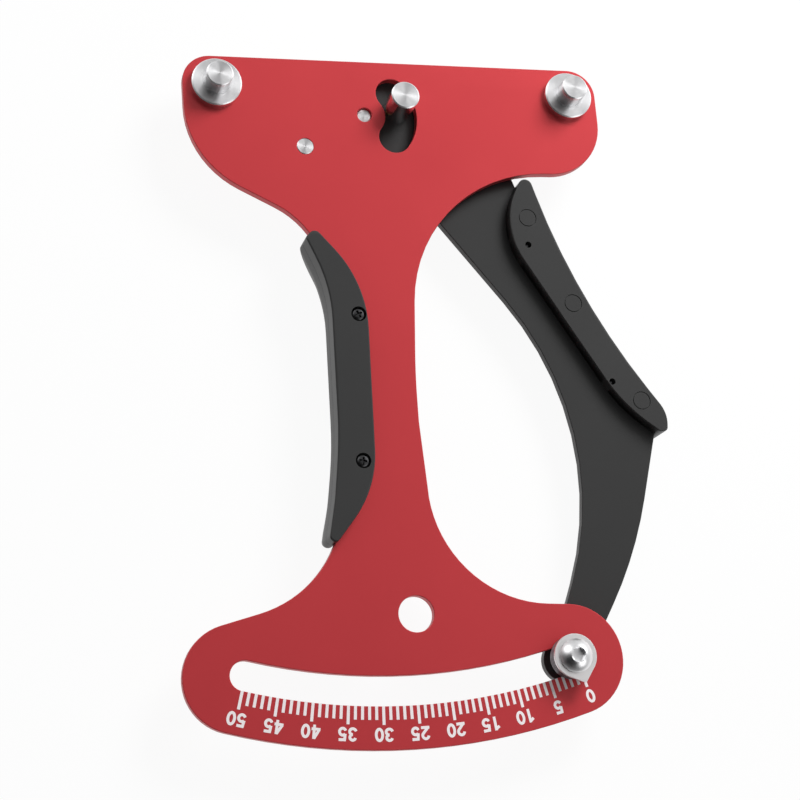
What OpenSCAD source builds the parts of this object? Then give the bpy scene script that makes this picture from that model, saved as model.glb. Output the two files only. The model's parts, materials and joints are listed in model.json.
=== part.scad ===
// Spoke tension meter. A flat body carries two fixed posts; a sprung arm behind it carries
// the third post and the pointer. Squeezing the grips swings the arm clockwise, the third
// post drops, and a spoke goes in between the posts. Released, the spring bends the spoke,
// and the pointer stops at a reading on the scale.
// Millimetres. The tool lies on its back: z = 0 is the plane that its grips rest on, the
// posts point up, and the origin is under the middle of the outline.
// Plate sizes are measured from the pivot, x to the right and y towards the posts. Arm
// sizes are measured from the pivot too, with the pointer straight below it.

/* [Travel] */
// Angle of the whole scale, from the 0 mark to the 50 mark
scale_span = 32; // [30:0.5:33]
// Angle the arm swings through, from one end of the slot to the other
swing = 31.5; // [28:0.5:32]
// Distance from the pivot to the middle of the curved slot, and to the pointer
scale_r = 190.4; // [188:0.2:193]
// Distance from the pivot to the moving post
crank_r = 12.6; // [12.3:0.1:13]

/* [Body plate] */
// Thickness of the body plate
plate_t = 3; // [2.5:0.1:4]
// Top edge above the pivot
wing_top = 19.2; // [17:0.5:22]
// Left end of the wings
wing_left = -60.3; // [-64:0.1:-59]
// Right end of the wings
wing_right = 82.8; // [82:0.1:86]
// Radius of the two upper corners
wing_corner_r = 9.5; // [6:0.5:12]
// Underside of the right wing
wing_under = -19.5; // [-21:0.1:-18]
// Radius of the right wing's lower corner
wing_right_r = 19; // [16:0.5:20]
// Height where the left wing's rounded end meets its sloping underside
wing_slope_y = -17.6; // [-19:0.1:-16]
// Radius of the left wing's lower corner
wing_left_r = 32; // [28:0.5:34]
// Height where the sloping underside meets the neck
neck_slope_y = -40.7; // [-42:0.1:-40]
// Radius between the sloping underside and the neck
neck_slope_r = 28.5; // [24:0.5:30]
// Left edge of the neck
neck_left = -16.9; // [-17:0.1:-15.5]
// Right edge of the neck at its narrowest
neck_right = 9.9; // [9.5:0.1:10.4]
// How much further right the neck's edge points where the right wing begins
neck_lean = 5.4; // [4:0.1:6]
// Radius between the right wing and the neck
neck_wing_r = 49.5; // [46:0.5:51]
// Radius between the neck and the fan, on the left
fan_left_r = 37.6; // [36:0.1:38]
// Radius between the neck and the fan, on the right
fan_right_r = 38.5; // [37:0.1:39]
// Height of those radii's centres above the fan's ends
fan_rise = [55.5, 56.2];
// Radius of the fan's left end
fan_left_end = 16.5; // [16:0.1:17.4]
// Half the height of the fan, and the radius of its right end
fan_half = 17.4; // [17.4:0.1:18]
// Width of the curved slot
slot_w = 9.2; // [9:0.1:10]
// Inner corner width of the kidney window
window_w = 10.8; // [10.4:0.1:11.2]
// Angle of the kidney window to each side
window_half = 38.5; // [36:0.5:42]
// Place of the hang hole
hang_at = [3.9, -167.1];
// Diameter of the hang hole
hang_d = 11.4; // [8:0.1:12]

/* [Posts] */
// Distance between the two fixed posts
post_span = 121.6; // [120:0.2:123]
// Middle of the fixed posts, to the right of the pivot
post_mid = 11.4; // [10.8:0.1:12.2]
// Height of the fixed posts above the pivot
post_y = 8.8; // [8.4:0.1:9.4]
// Diameter of the fixed posts
post_d = 8.8; // [8:0.1:9.4]
// Diameter of a fixed post's flange
flange_d = 16.5; // [15:0.1:17.5]
// Thickness of a fixed post's flange
flange_t = 2.6; // [2:0.1:3]
// Diameter of the moving post
mover_d = 9.5; // [9.2:0.1:9.6]
// Diameter of its shank, which passes through the kidney window
mover_shank_d = 8.9; // [8.4:0.1:9]
// Height above the body plate where the shank ends
mover_step = 0.4; // [0.3:0.1:1]
// Height of all three posts above the body plate
post_h = 9.1; // [8:0.1:11]
// Bevel round the posts' ends and flanges
post_bevel = 0.4; // [0.2:0.1:0.6]
// Diameter of the countersunk screws that hold the posts
post_screw_d = 4; // [3.5:0.5:4]
// Diameter of their heads
post_head_d = 7.4; // [7:0.1:7.8]
// Depth of the threaded holes in the posts
post_thread = 7; // [5:0.5:8]

/* [Arm] */
// Thickness of the arm plate
arm_t = 3; // [2.5:0.1:3.5]
// Gap between the body plate and the arm plate
arm_gap = 1.5; // [1.2:0.1:2]
// Radius of the arm round the pivot
hub_r = 20; // [18.8:0.1:20.5]
// Radius of the arm's end at the pointer
arm_end_r = 7; // [6.5:0.1:7.4]

/* [Pivot and spring] */
// Diameter of the pivot screw's shoulder
shoulder_d = 8; // [7:0.1:8.4]
// Diameter of the pivot screw's thread
pivot_thread_d = 4.9; // [4.5:0.1:5.5]
// How far the pivot screw's end lies below the face
pivot_recess = 1; // [0.6:0.1:1.6]
// Diameter of the pivot screw's head
pivot_head_d = 13; // [12.5:0.1:14]
// Thickness of the pivot screw's head
pivot_head_t = 1.6; // [1.6:0.1:2.4]
// Space under the pivot screw's head when the tool lies down
pivot_lift = 0.3; // [0.2:0.1:1]
// Outer diameter of the bush's sleeve
bush_d = 11; // [10.4:0.1:12]
// Diameter of the bush's flange
bush_flange_d = 14; // [13:0.1:14.4]
// Outer diameter of the collar inside the spring
collar_d = 10.6; // [10:0.1:11]
// Diameter of the spring's wire
wire_d = 1.4; // [1.3:0.05:1.5]
// Radius of the spring's turns, to the middle of the wire
coil_r = 7.3; // [7.1:0.1:7.5]
// Distance from one turn of the spring to the next
coil_pitch = 1.85; // [1.85:0.05:2.1]
// Whole turns of the spring, besides the part turn between its legs
coil_turns = 2; // [1:1:3]
// Length of the spring's legs beyond the pins
leg_over = 3; // [2:0.5:5]
// Place of the spring's anchor in the body
anchor_at = [-20.9, -11.9];
// Diameter of the anchor in the body
anchor_d = 5.5; // [5:0.1:5.8]
// Diameter of the anchor where the spring bears on it
anchor_waist_d = 4; // [3.6:0.1:4.4]
// Diameter of the anchor's end
anchor_end_d = 6.4; // [6:0.1:7]
// Distance from the pivot to the arm's spring pin
spring_pin_r = 17.4; // [17.2:0.1:17.6]
// Angle of the arm's spring pin, in the arm's own frame
spring_pin_angle = -76; // [-80:1:-72]
// Diameter of the arm's spring pin
spring_pin_d = 3; // [2.6:0.1:3.4]

/* [Pointer] */
// Diameter of the pointer's round part, and of the washers
pointer_d = 13.9; // [13:0.1:14.4]
// Distance from the screw to the pointer's tip
pointer_reach = 8.7; // [8.4:0.1:9.4]
// Thickness of the pointer
pointer_t = 1; // [0.8:0.1:1.5]
// Turn of the pointer on its screw
pointer_turn = 1; // [-8:1:8]
// Number of washers under the pointer
washers = 4; // [3:1:5]
// Thickness of one washer
washer_t = 1.1; // [1:0.1:1.4]
// Diameter of the pointer's screw
pointer_screw_d = 6; // [5:0.5:6]
// Diameter of its button head
button_d = 10.6; // [10:0.1:12]
// Height of its button head
button_h = 3.3; // [2.8:0.1:3.6]
// Width of its hexagon socket
socket_w = 4; // [3:0.1:4.2]
// Outer diameter of the sleeve that runs in the slot
sleeve_d = 8.4; // [8:0.1:8.5]
// Width of the nut across its flats
nut_w = 10; // [9:0.1:10]
// Thickness of the nut
nut_t = 3.2; // [2.8:0.1:4]

/* [Grips] */
// Height of the body grip above the body plate
body_grip_rise = 4.5; // [3.5:0.1:6]
// Height of the arm grip above the arm plate
arm_grip_rise = 4.5; // [3.5:0.1:6]
// Rounding along the grips' front edges
grip_edge = 0.6; // [0.4:0.1:1.4]
// Level above the bench where the body grip stops widening
body_grip_wall = 10; // [8:0.1:11]
// Level above the bench where the arm grip stops widening
arm_grip_wall = 5; // [4:0.1:7]
// How far the body grip's back narrows, as a share of its width
body_narrow = 0.46; // [0.35:0.01:0.5]
// How far the arm grip's back narrows, as a share of its width
arm_narrow = 0.25; // [0.15:0.01:0.28]
// How evenly they narrow: 1 is a straight slope, 2 is rounder
grip_round = 1.35; // [1:0.05:2]
// Diameter of the grip screws
grip_screw_d = 2.5; // [2:0.1:3]
// Diameter of the grip screws' heads
grip_head_d = 4.8; // [4.4:0.1:5.6]
// Height of the grip screws' heads
grip_head_t = 1.6; // [1.3:0.1:2]
// Depth that the body grip's screws go into the back shell
grip_bite = 7; // [5:0.5:8]
// Depth of the arm grip's screw heads in its back
arm_head_depth = 2.6; // [2:0.1:3.2]
// Diameter of the small holes in the arm grip's front
peep_d = 2.2; // [2:0.1:2.4]
// Diameter of the rings left by the mould
ring_d = 6; // [5:0.1:6.2]

/* [Hidden] */
$fn = 72;

// At rest the pointer stands on the 0 mark, this far round from straight below the pivot
end_turn = scale_span / 2;

// Clearances
run_gap = 0.05;    // a pin that turns in its hole, all round
fixed_gap = 0.05;  // a pressed or screwed piece in its hole, all round
float_gap = 0.2;   // the arm's play along the pivot
ride_gap = 0.3;    // the washers above the body's face
touch_gap = 0.2;   // the spring beside the pins
stop_gap = 0.2;    // the sleeve before the end of its slot
coil_gap = 0.25;   // the spring's first and last turn beside the head and the arm

// Where the spring leaves its turns. The wire runs from the anchor's leg at the back to
// the arm's leg in front, turning clockwise, so that squeezing the grips winds it up.
anchor_r = norm(anchor_at);
anchor_angle = atan2(anchor_at.y, anchor_at.x);
anchor_leg_y = coil_r + anchor_waist_d / 2 + wire_d / 2 + touch_gap;
coil_start = anchor_angle + 360 - acos(anchor_leg_y / anchor_r);
pin_angle = spring_pin_angle + end_turn;
pin_leg_y = coil_r + spring_pin_d / 2 + wire_d / 2 + touch_gap;
coil_end = pin_angle + acos(pin_leg_y / spring_pin_r);
coil_angle = coil_start - coil_end + 360 * coil_turns;
coil_rise = coil_pitch * coil_angle / 360;

// Levels, from the plane that the tool rests on
head_top = pivot_lift + pivot_head_t;
coil_z = head_top + coil_gap + wire_d / 2;
arm_z = coil_z + coil_rise + wire_d / 2 + coil_gap;
arm_top = arm_z + arm_t;
plate_z = arm_top + arm_gap;
face_z = plate_z + plate_t;
pointer_z = face_z + ride_gap + washers * washer_t;

// The fan's rounded ends are centred on the ends of the scale, a little below the slot
fan_drop = 0.4;
fan_right_turn = end_turn + 0.15;
fan_end = (scale_r + fan_drop) * [sin(fan_right_turn), -cos(fan_right_turn)];
rim_r = scale_r + fan_drop + fan_half;
fan_left_turn = end_turn + 0.08;
fan_left = (rim_r - fan_left_end) * [-sin(fan_left_turn), -cos(fan_left_turn)];
// The sleeve stops just short of each end of the slot
slot_spare = atan(((slot_w - sleeve_d) / 2 - stop_gap) / scale_r);

// Outlines: corners [x, y, radius], anticlockwise
wing_corners = [
  [wing_right, wing_top, wing_corner_r],
  [wing_left, wing_top, wing_corner_r],
  [wing_left, wing_slope_y, wing_left_r],
  [neck_left, neck_slope_y, neck_slope_r],
  [neck_left, -110, 1],
  [neck_right, -110, 1],
  [neck_right + 0.2, -90, 250],
  [neck_right + neck_lean, wing_under, neck_wing_r],
  [wing_right, wing_under, wing_right_r]];
arm_end = [0, -scale_r];
arm_low = [6.7, 15.4] + arm_end;     // where the inner edge turns to the round end
arm_heel = [36.5, 24.2] + arm_end;   // where the outer edge bends towards the pointer
arm_root = [7.6, -27];               // where the inner edge leaves the hub
arm_shoulder = [42.8, -20];          // where the outer edge turns towards the hub
arm_corners = [
  at(touch(arm_root, [0, 0], hub_r, -1), 0.5),
  at(arm_root, 18),
  [45.4, -124.4, 98],
  at(arm_low, 12),
  at(touch(arm_low, arm_end, arm_end_r, 1), 0.5),
  at(touch(arm_heel, arm_end, arm_end_r, -1), 0.5),
  at(arm_heel, 140),
  [60, -128.2, 4],
  [46.4, -85.1, 120],
  at(arm_shoulder, 14),
  at(touch(arm_shoulder, [0, 0], hub_r, 1), 0.5)];
body_grip_corners = [
  [-20.7, -41.9, 2], [-23.9, -45.2, 1.2], [-16.8, -62, 50], [-17.7, -112, 150],
  [-20.3, -131, 60], [-24.1, -149.3, 1.7], [-6.6, -127.9, 36], [-4.9, -60.5, 40]];
body_grip_spine = [[-13.2, -56.5], [-9.8, -74], [-11.2, -118], [-18.8, -138.5]];
arm_grip_corners = [
  [47.9, -32.2, 2.4], [31.2, -48.4, 25], [49.6, -119.1, 50], [58.6, -131.2, 1.5],
  [61.3, -131.6, 1.2], [63.6, -126, 10.8], [47.9, -80.2, 230]];
arm_grip_spine = [[42.5, -43], [39.2, -58], [44.2, -90], [49.4, -110.5], [59.8, -127.8]];
body_grip_screw_at = [[-8.3, -71.1], [-10.4, -119.2]];
arm_grip_screw_at = [[38.5, -57.9], [48.9, -110.5]];
arm_grip_ring_at = [[41.8, -48.9], [46, -81.4], [56.3, -119.5]];

// Middle of the whole outline, which the origin lies under
outline = concat(rounded(wing_corners), [for (p = rounded(arm_grip_corners)) turned(p, end_turn)],
                 [[fan_left.x - fan_left_end, 0], [0, -rim_r]]);
outline_x = [for (p = outline) p.x];
outline_y = [for (p = outline) p.y];
middle = [(min(outline_x) + max(outline_x)) / 2, (min(outline_y) + max(outline_y)) / 2];

function at(p, r) = [p.x, p.y, r];
function unit(v) = v / norm(v);
function turned(p, a) = [p.x * cos(a) - p.y * sin(a), p.x * sin(a) + p.y * cos(a)];
// Point where a line from p touches the circle of radius r round c
function touch(p, c, r, side) =
  let (d = p - c, a = atan2(d.y, d.x) + side * acos(r / norm(d)))
  c + r * [cos(a), sin(a)];
// Arc that rounds the corner b between its neighbours a and d
function corner_arc(a, b, d) =
  let (p = [b.x, b.y],
       u = unit([a.x, a.y] - p),
       v = unit([d.x, d.y] - p),
       half = acos(u * v) / 2,
       centre = p + unit(u + v) * b.z / sin(half),
       start = p + u * b.z / tan(half) - centre,
       first = atan2(start.y, start.x),
       side = u.y * v.x - u.x * v.y > 0 ? 1 : -1,
       sweep = side * (180 - 2 * half),
       steps = max(b.z < 3 ? 3 : 5, ceil(abs(sweep) / 6)))
  [for (k = [0:steps]) centre + b.z * [cos(first + sweep * k / steps), sin(first + sweep * k / steps)]];
function rounded(c) =
  let (n = len(c))
  [for (i = [0:n - 1]) each corner_arc(c[(i + n - 1) % n], c[i], c[(i + 1) % n])];
// Nearest point to p on the line through the points of s
function on_piece(p, a, b) =
  let (t = (p - a) * (b - a) / ((b - a) * (b - a))) a + min(1, max(0, t)) * (b - a);
function nearest(p, s, i = 0) =
  let (q = on_piece(p, s[i], s[i + 1]))
  i == len(s) - 2 ? q :
  let (r = nearest(p, s, i + 1)) norm(p - q) < norm(p - r) ? q : r;
// Outline drawn in towards its spine by the share k, at height z
function ring(points, spine, z, k) =
  [for (p = points) let (q = p + k * (nearest(p, spine) - p)) [q.x, q.y, z]];
// Solid through rings of equally many points, lowest first
module loft(rings) {
  n = len(rings[0]);
  m = len(rings);
  polyhedron(
    points = [for (r = rings) each r],
    faces = concat(
      [[for (i = [0:n - 1]) i]],
      [[for (i = [0:n - 1]) m * n - 1 - i]],
      [for (j = [0:m - 2], i = [0:n - 1]) let (k = (i + 1) % n)
        [j * n + i, (j + 1) * n + i, j * n + k]],
      [for (j = [0:m - 2], i = [0:n - 1]) let (k = (i + 1) % n)
        [j * n + k, (j + 1) * n + i, (j + 1) * n + k]]));
}
// What lies between two levels, cut flat at both
module between(low, high) intersection() {
  children();
  translate([-150, -250, low]) cube([300, 300, high - low]);
}
// Half of a grip from the level low up to high, with its front edge rounded
module grip_front(corners, spine, low, high) {
  points = rounded(corners);
  share = grip_edge / 6;
  between(low, high)
    loft(concat([ring(points, spine, low - 1, 0)],
                [for (a = [0:30:90]) ring(points, spine, high - grip_edge + grip_edge * sin(a),
                                          share * (1 - cos(a)))],
                [ring(points, spine, high + 1, share)]));
}
// Half of a grip from its flat back up to the level high, widening up to the level wall
module grip_back(corners, spine, wall, high, narrow) {
  points = rounded(corners);
  between(0, high)
    loft(concat([ring(points, spine, -1, narrow)],
                [for (t = [0:5]) ring(points, spine, wall * t / 5,
                                      narrow * pow(1 - t / 5, grip_round))],
                [ring(points, spine, high + 1, 0)]));
}

// Places: the body's pieces are drawn from the pivot, the arm's turned with the arm
module on_body(z = 0) translate([-middle.x, -middle.y, z]) children();
module on_arm(z = 0) on_body(z) rotate(end_turn) children();

// Disc with a bevel at its top and, if asked, at its bottom
module disc(d, h, top, bottom = 0) {
  translate([0, 0, bottom]) cylinder(d = d, h = h - top - bottom);
  translate([0, 0, h - top]) cylinder(d1 = d, d2 = d - 2 * top, h = top);
  if (bottom > 0) cylinder(d1 = d - 2 * bottom, d2 = d, h = bottom);
}
// Countersunk hole or screw head, wide end at z = 0
module countersink(head, shank) cylinder(d1 = head, d2 = shank, h = (head - shank) / 2);
// Curved band of width w round the origin, between two directions
module curved_band(r, w, from, to) intersection() {
  difference() {
    circle(r = r + w / 2, $fn = 180);
    circle(r = r - w / 2, $fn = 180);
  }
  polygon(concat([[0, 0]], [for (k = [0:4]) let (a = from + (to - from) * k / 4)
                            1.1 * (r + w) * [cos(a), sin(a)]]));
}
module curved_slot(r, w, from, to) {
  curved_band(r, w, from, to);
  for (a = [from, to]) rotate(a) translate([r, 0]) circle(d = w);
}
// Part of the neck that flares into the fan, on the right (side 1) or left (side -1)
function flare(edge, side, r, e, end_r, rise) =
  let (c = [edge + side * r, e.y + rise],
       d = e - c,
       open = acos(min(1, (r + end_r) / norm(d))),
       first = side > 0 ? -180 : 0,
       last = atan2(d.y, d.x) - side * open)
  concat([for (k = [0:18]) let (a = first + (last - first) * k / 18) c + r * [cos(a), sin(a)]],
         [e - end_r * [cos(last), sin(last)]]);
module body_outline() {
  lean = 1.1;  // the neck's right edge widens this much on its way to the fan
  right = flare(neck_right + lean, 1, fan_right_r, fan_end, fan_half, fan_rise[1]);
  left = flare(neck_left, -1, fan_left_r, fan_left, fan_left_end, fan_rise[0]);
  polygon(rounded(wing_corners));
  polygon(concat([for (i = [19:-1:0]) right[i]], [[neck_right, -105], [neck_left, -105]],
                 left, [fan_left, fan_end]));
  translate(fan_left) circle(r = fan_left_end);
  translate(fan_end) circle(r = fan_half);
  band_w = 1.6 * fan_half;
  curved_band(rim_r - band_w / 2, band_w, -90 - fan_left_turn, -90 + fan_right_turn);
}

// Body: flat aluminium plate, cut to shape
module body_plate() color("firebrick") on_body(plate_z) difference() {
  linear_extrude(plate_t) body_outline();
  cut = 1;
  translate([0, 0, -cut]) linear_extrude(plate_t + 2 * cut) {
    curved_slot(scale_r, slot_w, -90 + end_turn - swing + slot_spare, -90 + end_turn - slot_spare);
    curved_slot(crank_r, window_w, -window_half, window_half);
  }
  translate([0, 0, -cut]) {
    cylinder(d = pivot_thread_d + 2 * run_gap, h = plate_t + 2 * cut);
    translate(hang_at) cylinder(d = hang_d, h = plate_t + 2 * cut);
    translate(anchor_at) cylinder(d = anchor_d + 2 * fixed_gap, h = plate_t + 2 * cut);
    for (p = body_grip_screw_at)
      translate(p) cylinder(d = grip_screw_d + 4 * fixed_gap, h = plate_t + 2 * cut);
    for (x = fixed_posts_x)
      translate([x, post_y]) cylinder(d = post_screw_d + 4 * fixed_gap, h = plate_t + 2 * cut);
  }
  for (x = fixed_posts_x)
    translate([x, post_y, 0]) countersink(post_head_d + 2 * fixed_gap, post_screw_d);
}
fixed_posts_x = [post_mid - post_span / 2, post_mid + post_span / 2];

// Fixed post: turned from bar with its flange, threaded from below
module fixed_post(x) color("lightgray") on_body(face_z) translate([x, post_y, 0]) difference() {
  union() {
    disc(flange_d, flange_t, post_bevel);
    disc(post_d, post_h, post_bevel);
  }
  cylinder(d = post_screw_d + 2 * fixed_gap, h = post_thread);
}
module fixed_post_left() fixed_post(fixed_posts_x[0]);
module fixed_post_right() fixed_post(fixed_posts_x[1]);
// Countersunk screw through a plate of thickness t into a post
module post_screw(t) difference() {
  union() {
    countersink(post_head_d, post_screw_d);
    cylinder(d = post_screw_d, h = t + post_thread - 1);
  }
  cylinder(d = post_screw_d / 2 / cos(30), h = 1.4, $fn = 6);
}
module fixed_post_screws() color("dimgray") on_body(plate_z)
  for (x = fixed_posts_x) translate([x, post_y, 0]) post_screw(plate_t);

// Anchor: turned pin pressed into the body, flush with its face; the spring's leg bears on
// its waist and its end keeps the leg from slipping off
anchor_end_t = 0.8;
anchor_low = coil_z - wire_d / 2 - touch_gap - anchor_end_t;
module spring_anchor() color("lightgray") on_body() translate(anchor_at) {
  translate([0, 0, plate_z]) cylinder(d = anchor_d, h = plate_t);
  translate([0, 0, anchor_low]) cylinder(d = anchor_waist_d, h = plate_z - anchor_low);
  translate([0, 0, anchor_low]) cylinder(d = anchor_end_d, h = anchor_end_t);
}

// Pivot screw: head at the back, shoulder through the collar and the bush, thread in the body
pivot_socket = 3;
module pivot_screw() color("silver") on_body() difference() {
  union() {
    translate([0, 0, pivot_lift]) disc(pivot_head_d, pivot_head_t, 0.1, 0.4);
    translate([0, 0, head_top]) cylinder(d = shoulder_d, h = plate_z - head_top);
    translate([0, 0, plate_z]) disc(pivot_thread_d, plate_t - pivot_recess, 0.35);
  }
  cylinder(d = pivot_socket / cos(30), h = pivot_lift + pivot_head_t - 0.3, $fn = 6);
}
module tube(outer, inner, h) difference() {
  cylinder(d = outer, h = h);
  translate([0, 0, -1]) cylinder(d = inner, h = h + 2);
}
// Collar: plain tube that keeps the spring round and the arm off the screw's head
module spring_collar() color("gray") on_body(head_top)
  tube(collar_d, shoulder_d + 2 * run_gap, arm_z - float_gap - head_top);

// Spring: one length of wire, a leg at each end
function coil_point(t) = let (a = coil_start - t * coil_angle)
  [coil_r * cos(a), coil_r * sin(a), coil_z + t * coil_rise];
anchor_leg = anchor_r * sin(anchor_angle + 360 - coil_start) + leg_over;
pin_leg = spring_pin_r * sin(coil_end - pin_angle) + leg_over;
coil_rings = ceil(coil_angle / 45);
leg_dir = [-sin(coil_start), cos(coil_start), 0];
pin_dir = [sin(coil_end), -cos(coil_end), 0];
wire_line = concat(
  [for (s = [anchor_leg, anchor_leg - wire_d, wire_d]) coil_point(0) + s * leg_dir],
  [for (k = [0:coil_rings]) coil_point(k / coil_rings)],
  [for (s = [wire_d, pin_leg - wire_d, pin_leg]) coil_point(1) + s * pin_dir]);
wire_n = len(wire_line);
function wire_side(i) =
  let (d = wire_line[min(i + 1, wire_n - 1)] - wire_line[max(i - 1, 0)]) unit([-d.y, d.x, 0]);
wire_sides = 6;
function wire_ring(i) = [for (k = [0:wire_sides - 1]) let (a = 360 / wire_sides * k + 90)
  wire_line[i] + wire_d / 2 * (cos(a) * wire_side(i) + sin(a) * [0, 0, 1])];
module torsion_spring() color("darkgray") on_body() loft([for (i = [0:wire_n - 1]) wire_ring(i)]);
wire_gap = min([for (i = [0:wire_n - 1], j = [0:wire_n - 1]) if (j > i + 4)
  norm(wire_line[i] - wire_line[j])]) - wire_d;
echo(spring_turns = coil_angle / 360, least_gap_to_itself = wire_gap);

// Body grip: two moulded shells over the neck's left edge, screwed together through it
grip_part = plate_z + plate_t / 2;
body_grip_top = face_z + body_grip_rise;
// The neck inside the grip: its left edge, from the wing's slope to the fan
module plate_in_grip() translate([0, 0, plate_z]) linear_extrude(plate_t)
  polygon(concat(corner_arc(wing_corners[2], wing_corners[3], wing_corners[4]),
                 flare(neck_left, -1, fan_left_r, fan_left, fan_left_end, fan_rise[0]),
                 [[0, fan_left.y], [0, wing_slope_y]]));
module body_grip_front() color("dimgray") on_body() difference() {
  grip_front(body_grip_corners, body_grip_spine, grip_part, body_grip_top);
  plate_in_grip();
  for (p = body_grip_screw_at) translate(p) {
    translate([0, 0, plate_z]) cylinder(d = grip_screw_d + 4 * fixed_gap, h = body_grip_rise + plate_t);
    translate([0, 0, body_grip_top - grip_head_t - 0.2])
      cylinder(d = grip_head_d + 4 * fixed_gap, h = grip_head_t + 1);
  }
}
module body_grip_back() color("dimgray") on_body() difference() {
  grip_back(body_grip_corners, body_grip_spine, body_grip_wall, grip_part, body_narrow);
  plate_in_grip();
  for (p = body_grip_screw_at) translate([p.x, p.y, plate_z - grip_bite - 0.5])
    cylinder(d = grip_screw_d + 2 * fixed_gap, h = grip_bite + 2);
}
// Screw with a low round head and a cross in it, head up
module cross_screw(length) difference() {
  union() {
    translate([0, 0, -length]) cylinder(d = grip_screw_d, h = length);
    disc(grip_head_d, grip_head_t, 0.4);
  }
  cross_w = grip_head_d * 0.55;
  for (a = [0, 90]) rotate(a) translate([-cross_w / 2, -0.3, grip_head_t - 0.9])
    cube([cross_w, 0.6, 1.5]);
}
module body_grip_screws() color("black") on_body(body_grip_top - grip_head_t - 0.2)
  for (p = body_grip_screw_at) translate(p)
    cross_screw(body_grip_rise + plate_t + grip_bite - grip_head_t - 0.2);

// Arm: flat steel plate, blackened
module arm_outline() {
  polygon(rounded(arm_corners));
  circle(r = hub_r);
  translate(arm_end) circle(r = arm_end_r);
}
spring_pin_at = spring_pin_r * [cos(spring_pin_angle), sin(spring_pin_angle)];
module arm_plate() color("darkslategray") on_arm(arm_z) difference() {
  linear_extrude(arm_t) arm_outline();
  cut = 1;
  translate([0, 0, -cut]) {
    cylinder(d = bush_d + 2 * fixed_gap, h = arm_t + 2 * cut);
    translate([crank_r, 0]) cylinder(d = post_screw_d + 4 * fixed_gap, h = arm_t + 2 * cut);
    translate(spring_pin_at) cylinder(d = spring_pin_d + 2 * fixed_gap, h = arm_t + 2 * cut);
    translate(arm_end) cylinder(d = pointer_screw_d + 4 * fixed_gap, h = arm_t + 2 * cut);
    for (p = arm_grip_screw_at)
      translate(p) cylinder(d = grip_screw_d + 4 * fixed_gap, h = arm_t + 2 * cut);
  }
  translate([crank_r, 0, 0]) countersink(post_head_d + 2 * fixed_gap, post_screw_d);
}
// Bush: flanged, pressed into the arm; it turns on the screw's shoulder
module pivot_bush() color("goldenrod") on_arm(arm_z) difference() {
  union() {
    cylinder(d = bush_d, h = arm_t);
    translate([0, 0, arm_t]) cylinder(d = bush_flange_d, h = arm_gap - float_gap);
  }
  translate([0, 0, -1]) cylinder(d = shoulder_d + 2 * run_gap, h = arm_t + arm_gap + 2);
}
// Moving post: stands on the arm and comes up through the kidney window
module moving_post() color("lightgray") on_arm(arm_top) translate([crank_r, 0, 0]) difference() {
  shank = arm_gap + plate_t + mover_step;
  union() {
    cylinder(d = mover_shank_d, h = shank);
    translate([0, 0, shank]) disc(mover_d, post_h - mover_step, post_bevel);
  }
  cylinder(d = post_screw_d + 2 * fixed_gap, h = post_thread);
}
module moving_post_screw() color("dimgray") on_arm(arm_z)
  translate([crank_r, 0, 0]) post_screw(arm_t);
// Pin pressed into the arm, which the spring's front leg pushes
module arm_spring_pin() color("lightgray") on_arm() translate(spring_pin_at)
  translate([0, 0, arm_z - coil_gap - wire_d - 1])
    cylinder(d = spring_pin_d, h = arm_t + coil_gap + wire_d + 1);

// Arm grip: two moulded shells over the arm's outer edge, screwed together from behind
arm_part = arm_z + arm_t / 2;
arm_grip_top = arm_top + arm_grip_rise;
arm_screw_len = arm_grip_top - 1.4 - arm_head_depth;
module plate_in_arm_grip() translate([0, 0, arm_z]) linear_extrude(arm_t) arm_outline();
module arm_grip_front() color("dimgray") on_arm() difference() {
  grip_front(arm_grip_corners, arm_grip_spine, arm_part, arm_grip_top);
  plate_in_arm_grip();
  for (p = arm_grip_screw_at) translate([p.x, p.y, arm_top - 1]) {
    cylinder(d = peep_d, h = arm_grip_rise + 2);
    cylinder(d = grip_screw_d + 2 * fixed_gap, h = arm_grip_rise - 0.2);
  }
  for (p = arm_grip_ring_at) translate([p.x, p.y, arm_grip_top - 0.2])
    tube(ring_d, ring_d - 0.7, 1);
}
module arm_grip_back() color("dimgray") on_arm() difference() {
  grip_back(arm_grip_corners, arm_grip_spine, arm_grip_wall, arm_part, arm_narrow);
  plate_in_arm_grip();
  for (p = arm_grip_screw_at) translate([p.x, p.y, -1]) {
    cylinder(d = grip_screw_d + 4 * fixed_gap, h = arm_z + 2);
    cylinder(d = grip_head_d + 4 * fixed_gap, h = arm_head_depth + 1);
  }
}
module arm_grip_screws() color("black") on_arm(arm_head_depth)
  for (p = arm_grip_screw_at) translate(p) mirror([0, 0, 1]) cross_screw(arm_screw_len);

// Pointer: teardrop washer, its tip over the scale
module pointer() color("silver") on_arm(pointer_z) translate(arm_end) rotate(pointer_turn)
  difference() {
    linear_extrude(pointer_t) {
      circle(d = pointer_d);
      rim = acos(pointer_d / 2 / pointer_reach);
      polygon([pointer_d / 2 * [sin(-rim), -cos(rim)], [-0.25, -pointer_reach],
               [0.25, -pointer_reach], pointer_d / 2 * [sin(rim), -cos(rim)]]);
    }
    translate([0, 0, -1]) cylinder(d = pointer_screw_d + 4 * fixed_gap, h = pointer_t + 2);
  }
module pointer_washers() color("gray") on_arm(face_z + ride_gap) translate(arm_end)
  for (k = [0:washers - 1]) translate([0, 0, k * washer_t]) difference() {
    disc(pointer_d - 0.6, washer_t, 0.25, 0.25);
    translate([0, 0, -1]) cylinder(d = pointer_screw_d + 4 * fixed_gap, h = washer_t + 2);
  }
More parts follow.
